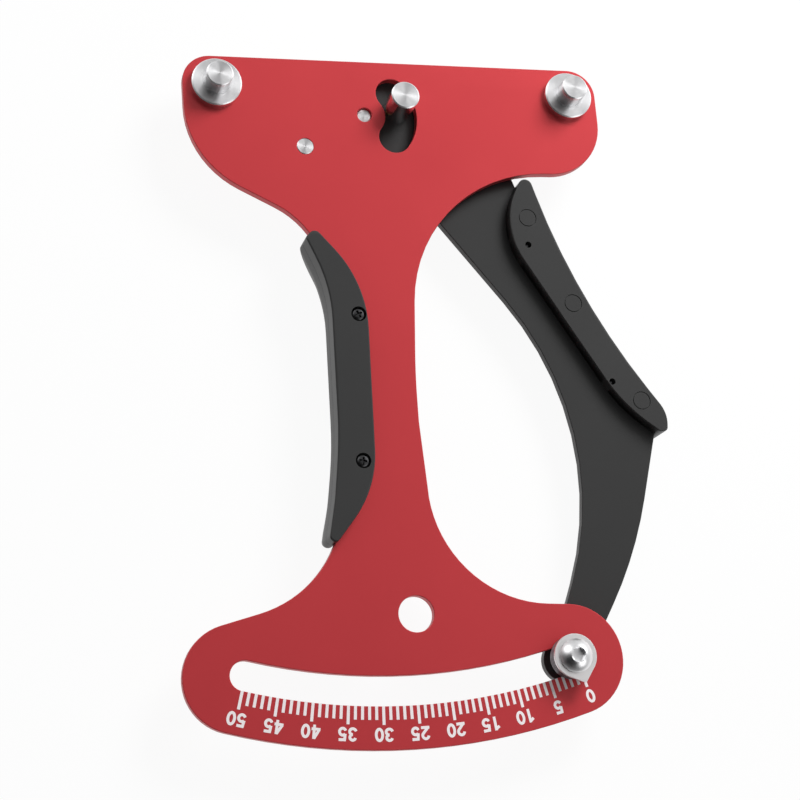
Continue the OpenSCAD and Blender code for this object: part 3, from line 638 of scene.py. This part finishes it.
def evenly(line, count):
    """The same closed outline as count points an even distance apart."""
    ends = line + line[:1]
    lengths = [(b - a).length for a, b in zip(ends, ends[1:])]
    step, done, k, out_line = sum(lengths) / count, 0.0, 0, []
    for n in range(count):
        while done + lengths[k] < n * step:
            done += lengths[k]
            k += 1
        out_line.append(ends[k].lerp(ends[k + 1], (n * step - done) / lengths[k]))
    return out_line


def towards(p, spine):
    """From p to the nearest point of the grip's spine."""
    def on_piece(a, b):
        t = (p - a).dot(b - a) / (b - a).length_squared
        return a + min(1, max(0, t)) * (b - a)
    return min((on_piece(a, b) - p for a, b in zip(spine, spine[1:])), key=lambda d: d.length)


def moulded(corners, spine, levels, place):
    """A shell through levels of (height in mm, share of the way to its spine)."""
    line = evenly(rounded(corners), grip_points)
    pull = [towards(p, [Vector(s) for s in spine]) for p in line]
    bm = bmesh.new()
    rows = skin(bm, [[(*place(p + share * d), z * MM) for p, d in zip(line, pull)] for z, share in levels])
    for row in (rows[0], rows[-1]):
        bm.faces.new(row)
    bmesh.ops.recalc_face_normals(bm, faces=bm.faces)
    return bm


def front_levels(low, high):
    """Straight up from the parting to a rounded edge."""
    turns = [math.radians(a) for a in range(0, 91, 10)]
    return ([(low, lip), (low + parting, 0)]
            + [(high - grip_edge * (1 - math.sin(a)), grip_edge / 6 * (1 - math.cos(a))) for a in turns])


def back_levels(wall, high, narrow):
    """Straight from the parting down to the level wall, then narrowing to a rounded foot."""
    turns = [math.radians(a) for a in range(0, 90, 15)]
    rounding = [(grip_foot * (1 - math.cos(a)), 0.1 * (1 - math.sin(a))) for a in turns]
    steps = 16
    slope = [(grip_foot + (wall - grip_foot) * k / steps, 0) for k in range(steps + 1)]
    return ([(z, extra + narrow * (1 - z / wall) ** narrowing) for z, extra in rounding + slope]
            + [(high - parting, 0), (high, lip)])


def cut(bm, *tools):
    """A shape with other shapes cut out of it."""
    def loose(shape):
        mesh = bpy.data.meshes.new("work")
        bmesh.ops.recalc_face_normals(shape, faces=shape.faces)
        shape.to_mesh(mesh)
        shape.free()
        made = bpy.data.objects.new("work", mesh)
        bpy.context.scene.collection.objects.link(made)
        return made
    work = loose(bm)
    pieces = [t if isinstance(t, bpy.types.Object) else loose(t) for t in tools]
    for tool in pieces:
        step = work.modifiers.new("Cut", "BOOLEAN")
        step.operation, step.solver, step.object = "DIFFERENCE", "EXACT", tool
    shaped = work.evaluated_get(bpy.context.evaluated_depsgraph_get()).to_mesh()
    result = bmesh.new()
    result.from_mesh(shaped)
    for temporary in [work] + [t for t in pieces if t.name.startswith("work")]:
        bpy.data.objects.remove(temporary)
    return result


def bore(x, y, steps, place):
    """The space of a stepped hole: steps of (radius, from, to), in mm, from the bottom up."""
    bm = bmesh.new()
    spots = [(r, z) for r, low, high in steps for z in (low, high)]
    rows = skin(bm, [[(*place(p), z * MM) for p in circle(Vector((x, y)), r, 48)] for r, z in spots])
    for row in (rows[0], rows[-1]):
        bm.faces.new(row)
    return bm


def on_body(p):
    """A point given in mm from the pivot."""
    return pivot.xy + p * MM


def levels_of(node):
    """Bottom and top of a CAD node, in mm."""
    return tuple(corner.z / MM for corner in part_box(node))


def grey(level):
    """A colour without any hue."""
    return level, level, level, 1


moulding = grained("Moulded grip plastic", 3.2, (grey(0.031), grey(0.038)), (0.36, 0.48), (0.012, 0.5),
                   (0.5, grey(0.055)), IOR=1.36)
screw_bore_free, screw_bore_tight, screw_reach = 1.35, 1.3, 7.5
recess_radius, recess_depth, overshoot = 2.5, 1.8, 1.0
part = (back + face) / 2 / MM
top = levels_of("body_grip_front")[1]
shell = moulded(grip_corners, grip_spine, front_levels(part, top), on_body)
steps = [(screw_bore_free, part - overshoot, top - recess_depth),
         (recess_radius, top - recess_depth, top + overshoot)]
holes = [bore(x, y, steps, on_body) for x, y in grip_screws]
fit(solid("body_grip_cover", cut(shell, plate, *holes)), moulding, "body", "grip_plastic", "body_grip_front")
shell = moulded(grip_corners, grip_spine, back_levels(grip_wall, part, grip_narrow), on_body)
steps = [(screw_bore_tight, back / MM - screw_reach, part + overshoot)]
holes = [bore(x, y, steps, on_body) for x, y in grip_screws]
fit(solid("body_grip_base", cut(shell, plate, *holes)), moulding, "body", "grip_plastic", "body_grip_back")

# Grip screws. Small blackened screws with a low round head and a cross recess: two from the
# front in the body grip, two from the back in the arm grip.
round_head, head_height, shank, point = 2.4, 1.6, 1.25, 0.4
cross_mouth, cross_floor = (2.9, 0.806), (1.74, 0.4588)       # length and width of each slot
cross_depth, cut_above = 1.1, 0.4
first_turn, turn_between = 0.5, 0.9    # how the body grip's two crosses stand, in radians


def cross_screw(name, length, place, upward=True):
    """A screw whose head stands on its place, its shank below it, or all of it turned over."""
    bm = bmesh.new()
    dome = [(round_head, 0.45), (round_head - 0.06, 0.8), (round_head - 0.3, 1.15),
            (round_head - 0.8, 1.42), (round_head - 1.5, 1.57), (0.3, head_height)]
    profile = [(point, -length), (shank, -length + 1.6), (shank, 0), (round_head - 0.05, 0)] + dome
    rows = skin(bm, [[(*p, h * MM) for p in circle(Vector((0, 0)), r * MM)] for r, h in profile])
    for row in (rows[0], rows[-1]):
        bm.faces.new(row)
    wings = []
    for a in (0, math.pi / 2):
        wing = bmesh.new()
        bmesh.ops.create_cube(wing, size=1.0)
        for v in wing.verts:
            long, wide = cross_floor if v.co.z < 0 else cross_mouth
            level = head_height - cross_depth if v.co.z < 0 else head_height + cut_above
            v.co = Matrix.Rotation(a, 3, "Z") @ Vector((v.co.x * long, v.co.y * wide, level)) * MM
        wings.append(wing)
    bm = cut(bm, *wings)
    if not upward:
        bmesh.ops.rotate(bm, cent=(0, 0, 0), matrix=Matrix.Rotation(math.pi, 3, "X"), verts=bm.verts)
    obj = solid(name, bm, 35)
    obj.location = place
    return obj


low, high = levels_of("body_grip_screws")
seat = high - head_height
for k, (x, y) in enumerate(grip_screws):
    place = Vector((*on_body(Vector((x, y))), seat * MM))
    screw = cross_screw(f"body_grip_screw_{k + 1}", seat - low, place)
    screw.rotation_euler.z = first_turn + turn_between * k
    fit(screw, black_steel, "body", "black_steel", "body_grip_screws")

# Arm plate. A 3 mm steel plate, blackened satin, that swings behind the body on the pivot.
# A narrow broken edge catches the light along its inner side.
black_plate = grained("Black satin plate", 5.0, (grey(0.030), grey(0.037)), (0.30, 0.40), (0.006, 0.5),
                      (0.3, grey(0.055)), IOR=1.33)
arm_edge = 0.3 * MM
arm = sheet_metal("black_arm", "arm_plate", arm_edge)
fit(arm, black_plate, "arm", "black_plate", "arm_plate")
arm_low, arm_high = levels_of("arm_plate")

# Pivot bush. A flanged bush of bearing bronze, pressed into the arm; its flange runs on the
# back of the body.
bronze = turned_metal("Bearing bronze", (0.42, 0.27, 0.11, 1), (0.56, 0.38, 0.17, 1), (0.28, 0.40))
bush_radius, bush_bore, bush_flange, bore_edge, flange_edge = 5.5, 4.05, 7.0, 0.2, 0.15
arm_thick, tall = arm_high - arm_low, levels_of("pivot_bush")[1] - arm_low
wall = [(bush_bore, bore_edge), (bush_bore + bore_edge, 0), (bush_radius - light_break, 0),
        (bush_radius, light_break), (bush_radius, arm_thick), (bush_flange - light_break, arm_thick),
        (bush_flange, arm_thick + light_break), (bush_flange, tall - flange_edge),
        (bush_flange - flange_edge, tall), (bush_bore + bore_edge, tall), (bush_bore, tall - bore_edge),
        (bush_bore, bore_edge)]
fit(turned("bronze_bush", wall, Vector((*pivot.xy, arm_low * MM))), bronze, "arm", "bronze", "pivot_bush")

# Moving post. Turned like the fixed ones but with no flange: it stands on the arm, thinner
# where it comes up through the kidney window, and is held by a screw from behind.
mover_radius, mover_shank, above_face = 4.75, 4.45, 0.4
mover = sites["moving_post"]
widens, tall = face / MM + above_face - arm_high, levels_of("moving_post")[1] - arm_high
profile = screw_hole + [(mover_shank - light_break, 0), (mover_shank, light_break),
                        (mover_shank, widens - 0.05), (mover_radius - light_break, widens),
                        (mover_radius, widens + light_break)]
profile += faced(mover_radius, tall, rim_edge)
post = turned("middle_post", profile, Vector((*mover.xy, arm_high * MM)))
fit(post, bright_steel, "arm", "turned_steel", "moving_post")
screw = post_screw("middle_post_screw", Vector((*mover.xy, arm_low * MM)))
fit(screw, black_steel, "arm", "black_steel", "moving_post_screw")

# Spring pin. A plain pin of bright steel, pressed through the arm. The spring's front leg
# pushes it, and so the arm, back to rest.
pin_lead, pin_edge = 0.3, 0.2
profile = [(0, 0), (pin_radius - pin_lead, 0), (pin_radius, pin_lead)]
profile += faced(pin_radius, (pin_high.z - pin_low.z) / MM, pin_edge)
leg_pin = turned("spring_leg_pin", profile, Vector((*pin.xy, pin_low.z)), 48)
fit(leg_pin, bright_steel, "arm", "turned_steel", "arm_spring_pin")

# Arm grip. Two moulded shells like the body grip's over the arm's outer edge. Its screws are
# driven from behind, so the front shows only two small holes and three shallow mould rings.
rest_turn = math.atan2(mover.y - pivot.y, mover.x - pivot.x)
arm_grip_corners = [(47.9, -32.2, 2.4), (31.2, -48.4, 25), (49.6, -119.1, 50), (58.6, -131.2, 1.5),
                    (61.3, -131.6, 1.2), (63.6, -126, 10.8), (47.9, -80.2, 230)]
arm_grip_spine = [(42.5, -43), (39.2, -58), (44.2, -90), (49.4, -110.5), (59.8, -127.8)]
arm_grip_screws = [(38.5, -57.9), (48.9, -110.5)]
mould_rings = [(41.8, -48.9), (46, -81.4), (56.3, -119.5)]
arm_grip_narrow, arm_grip_wall = 0.25, 5.0
peep_radius, peep_depth, head_depth = 1.1, 2.2, 2.6
ring_outer, ring_inner, ring_depth = 3.12, 2.8, 0.3


def on_arm(p):
    """A point given in mm from the pivot, with the moving post on the x axis."""
    return pivot.xy + Vector((p.x * math.cos(rest_turn) - p.y * math.sin(rest_turn),
                              p.x * math.sin(rest_turn) + p.y * math.cos(rest_turn))) * MM


def ring_groove(x, y, low, high):
    """The space of a mould ring: a narrow ring-shaped groove."""
    bm = bmesh.new()
    corners = (ring_inner, low), (ring_outer, low), (ring_outer, high), (ring_inner, high)
    skin(bm, [[(*on_arm(p), z * MM) for p in circle(Vector((x, y)), r)] for r, z in corners], closed=True)
    return bm


part = (arm_low + arm_high) / 2
top = levels_of("arm_grip_front")[1]
shell = moulded(arm_grip_corners, arm_grip_spine, front_levels(part, top), on_arm)
steps = [(screw_bore_tight, part - overshoot, top - peep_depth),
         (peep_radius, top - peep_depth, top + overshoot)]
holes = [bore(x, y, steps, on_arm) for x, y in arm_grip_screws]
holes += [ring_groove(x, y, top - ring_depth, top + overshoot) for x, y in mould_rings]
fit(solid("arm_grip_cover", cut(shell, arm, *holes)), moulding, "arm", "grip_plastic", "arm_grip_front")
shell = moulded(arm_grip_corners, arm_grip_spine, back_levels(arm_grip_wall, part, arm_grip_narrow), on_arm)
steps = [(recess_radius, -overshoot, head_depth), (screw_bore_free, head_depth, part + overshoot)]
holes = [bore(x, y, steps, on_arm) for x, y in arm_grip_screws]
fit(solid("arm_grip_base", cut(shell, arm, *holes)), moulding, "arm", "grip_plastic", "arm_grip_back")
length = levels_of("arm_grip_screws")[1] - head_depth
for k, (x, y) in enumerate(arm_grip_screws):
    place = Vector((*on_arm(Vector((x, y))), head_depth * MM))
    screw = cross_screw(f"arm_grip_screw_{k + 1}", length, place, upward=False)
    fit(screw, black_steel, "arm", "black_steel", "arm_grip_screws")

# Pointer. A teardrop of sheet steel with its tip over the scale, four washers under it, and
# a sleeve that runs in the slot, stacked on one screw.
sleeve_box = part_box("slot_sleeve")
stack = (sleeve_box[0] + sleeve_box[1]) / 2
bore_radius, pointer_edge = 3.1, 0.12
washer_radius, washer_edge, sleeve_radius, back_radius = 6.65, 0.32, 4.2, 5.75


def on_stack(level):
    """A place on the pointer screw's axis, at a level in mm."""
    return Vector((*stack.xy, level * MM))


satin_plated = turned_metal("Satin plated steel", (0.84, 0.82, 0.82, 1), (0.92, 0.90, 0.90, 1), (0.40, 0.50),
                            rings=1.5, depth=0.002)
pointer = sheet_metal("pointer_plate", "pointer", pointer_edge * MM)
fit(pointer, satin_plated, "arm", "zinc_steel", "pointer")
dull_plated = turned_metal("Dull plated steel", (0.13, 0.11, 0.12, 1), (0.34, 0.31, 0.33, 1), (0.30, 0.42),
                           rings=2.5, depth=0.004)
washers = 4
low, high = levels_of("pointer_washers")
thick = (high - low) / washers
for k in range(washers):
    place = on_stack(low + k * thick)
    disc = sleeve(f"pointer_washer_{k + 1}", washer_radius, bore_radius, thick, place, washer_edge)
    fit(disc, dull_plated, "arm", "zinc_steel", "pointer_washers")
low, high = levels_of("slot_sleeve")
runner = sleeve("slot_runner", sleeve_radius, bore_radius, high - low, on_stack(low))
fit(runner, plated, "arm", "zinc_steel", "slot_sleeve")
low, high = levels_of("pointer_back_washer")
disc = sleeve("back_washer", back_radius, bore_radius, high - low, on_stack(low))
fit(disc, plated, "arm", "zinc_steel", "pointer_back_washer")

# Pointer screw and nut. A plated screw with a button head and a hexagon socket, which clamps
# the stack to the arm, and a hexagon nut behind with its corners chamfered.
low, high = levels_of("pointer_screw")
stand = levels_of("pointer")[1] - low
button, button_tall, button_edge, button_point = 5.3, 3.3, 0.12, 0.5
button_shank, hexagon_half, hexagon_depth = 3.0, 2.0, 1.85
rise = button_tall - 0.7
ball = (button ** 2 + rise ** 2) / 2 / rise
mouth = hexagon_half + 0.42
widest, narrowest = math.asin(button / ball), math.asin(mouth / ball)
crown_steps = 12
turns = [widest + k / crown_steps * (narrowest - widest) for k in range(crown_steps + 1)]
crown = [(ball * math.sin(a), stand + button_tall - ball * (1 - math.cos(a))) for a in turns]
crown_top = crown[-1][1]
profile = [(0, 0), (button_shank - button_point, 0), (button_shank, button_point), (button_shank, stand),
           (button - button_edge, stand), (button, stand + button_edge)] + crown
profile += [(mouth - 0.06, crown_top - 0.03), (hexagon_half + 0.32, crown_top - 0.16),
            (hexagon_half, crown_top - 0.3, "hexagon"), (hexagon_half, crown_top - hexagon_depth, "hexagon"),
            (0, crown_top - hexagon_depth - 0.45)]
fit(turned("button_screw", profile, on_stack(low)), plated, "arm", "zinc_steel", "pointer_screw")

nut_half, nut_edge = 5.0, 0.4
chamfer, back_slope, front_slope = 0.97 * nut_half, 0.58, 0.3
low, high = levels_of("pointer_nut")
tall = high - low
columns = []
for k in range(FINE):
    a = math.tau * k / FINE
    side = nut_half / math.cos(a % (math.pi / 3) - math.pi / 6)
    column = [(bore_radius, nut_edge), (bore_radius + nut_edge, 0), (chamfer, 0),
              (side, back_slope * (side - chamfer)), (side, tall - front_slope * (side - chamfer)),
              (chamfer, tall), (bore_radius + nut_edge, tall), (bore_radius, tall - nut_edge)]
    columns.append([(r * math.cos(a) * MM, r * math.sin(a) * MM, h * MM) for r, h in column])
bm = bmesh.new()
skin(bm, zip(*columns), closed=True)
nut = solid("hexagon_nut", bm, 25)
nut.location = on_stack(low)
nut.rotation_euler.z = rest_turn
fit(nut, plated, "arm", "zinc_steel", "pointer_nut")

# Camera. Where the photograph was taken from: about 0.6 m away, a little below the tool's
# middle and to its left, on a lens of twice the usual length.
tilt, swivel, roll = (math.radians(a) for a in (-16.209, 14.586, 4.666))
lens = 81.0
shot = Vector((11.8, -94.8, 598.209)) * MM
look = (Matrix.Rotation(tilt, 3, "X") @ Matrix.Rotation(swivel, 3, "Y")
        @ Matrix.Rotation(roll, 3, "Z")).transposed()
camera = bpy.data.objects.new("camera", bpy.data.cameras.new("camera"))
camera.data.lens = lens
camera.data.sensor_width = 36.0
camera.data.sensor_fit = "HORIZONTAL"
camera.data.clip_start = 0.01
camera.matrix_world = Matrix.Translation(Vector((*pivot.xy, face)) + look @ shot) @ look.to_4x4()
bpy.context.scene.collection.objects.link(camera)
bpy.context.scene.camera = camera

# Floor. A plain white sheet under the tool, which shows white to the camera and in the
# metal, and keeps a faint shadow.
floor_half, floor_gap, shown_white = 12.0, 0.05 * MM, 0.94
bm = bmesh.new()
bmesh.ops.create_grid(bm, x_segments=1, y_segments=1, size=floor_half)
mesh = bpy.data.meshes.new("floor")
bm.to_mesh(mesh)
bm.free()
floor = bpy.data.objects.new("floor", mesh)
floor.location.z = -floor_gap
bpy.context.scene.collection.objects.link(floor)
paper = bpy.data.materials.new("White paper")
paper.use_nodes = True
tree = paper.node_tree
tree.nodes.clear()
rays = add(tree, "ShaderNodeLightPath").outputs
seen = math_node(tree, "MAXIMUM", rays["Is Camera Ray"], rays["Is Glossy Ray"])
seen = math_node(tree, "MAXIMUM", seen, rays["Is Transmission Ray"])
shadowed = add(tree, "ShaderNodeBsdfDiffuse", {"Color": grey(0.86)}).outputs[0]
white = add(tree, "ShaderNodeEmission", {"Color": grey(1.0), "Strength": 1.0}).outputs[0]
mixed = add(tree, "ShaderNodeMixShader",
            {0: math_node(tree, "MULTIPLY", seen, shown_white), 1: shadowed, 2: white})
add(tree, "ShaderNodeOutputMaterial", {"Surface": mixed.outputs[0]})
floor.data.materials.append(paper)

# Light. A pale studio: metal shows a white ceiling that is brighter towards the top of the
# picture, three white screens and the dark side where the camera stands. One broad soft lamp.
room_light = 0.27
bright_way, ceiling_cosines, ceiling_levels = (62, 0), (-0.4, 0.6), (0.12, 0.72)
# Each patch of the room: azimuth, elevation, inner and outer radius in degrees, and level
screens = (130, 34, 10, 24, 1.8), (318, 38, 10, 25, 1.8), (34, 30, 12, 27, 1.6)
dark_side = 226, 54, 24, 44, 0.95
lamp_place, lamp_size, lamp_watts = (0.34, 0.46, 0.46), 0.36, 6.8
world = bpy.data.worlds.new("studio")
bpy.context.scene.world = world
world.use_nodes = True
tree = world.node_tree
tree.nodes.clear()
direction = add(tree, "ShaderNodeTexCoord").outputs["Generated"]


def facing(azimuth, elevation):
    """How nearly a direction of the room is the given one, as a cosine."""
    a, e = math.radians(azimuth), math.radians(elevation)
    way = math.cos(e) * math.cos(a), math.cos(e) * math.sin(a), math.sin(e)
    return add(tree, "ShaderNodeVectorMath", {0: direction, 1: way}, operation="DOT_PRODUCT").outputs["Value"]


def patch(azimuth, elevation, inner, outer, level):
    """A round patch of the room with a soft rim: its level inside, none outside."""
    cosines = {"Value": facing(azimuth, elevation), "From Min": math.cos(math.radians(outer)),
               "From Max": math.cos(math.radians(inner)), "To Max": level}
    return add(tree, "ShaderNodeMapRange", cosines, interpolation_type="SMOOTHSTEP").outputs[0]


(from_low, from_high), (to_low, to_high) = ceiling_cosines, ceiling_levels
ceiling = add(tree, "ShaderNodeMapRange", {"Value": facing(*bright_way), "From Min": from_low,
                                           "From Max": from_high, "To Min": to_low, "To Max": to_high})
left_over = math_node(tree, "SUBTRACT", 1.0, patch(*dark_side))
shown = math_node(tree, "MULTIPLY", ceiling.outputs[0], left_over)
for screen in screens:
    shown = math_node(tree, "ADD", shown, patch(*screen))
glossy = add(tree, "ShaderNodeLightPath").outputs["Is Glossy Ray"]
level = add(tree, "ShaderNodeMix", {0: glossy, 2: room_light, 3: shown}, data_type="FLOAT").outputs[0]
background = add(tree, "ShaderNodeBackground", {"Color": grey(1.0), "Strength": level})
add(tree, "ShaderNodeOutputWorld", {"Surface": background.outputs[0]})

light = bpy.data.lights.new("key", "AREA")
light.shape, light.size, light.energy = "DISK", lamp_size, lamp_watts
lamp = bpy.data.objects.new("key", light)
lamp.location = lamp_place
lamp.rotation_euler = (-Vector(lamp_place)).to_track_quat("-Z", "Y").to_euler()
lamp.visible_glossy = False
bpy.context.scene.collection.objects.link(lamp)

bpy.context.scene.view_settings.view_transform = "Standard"
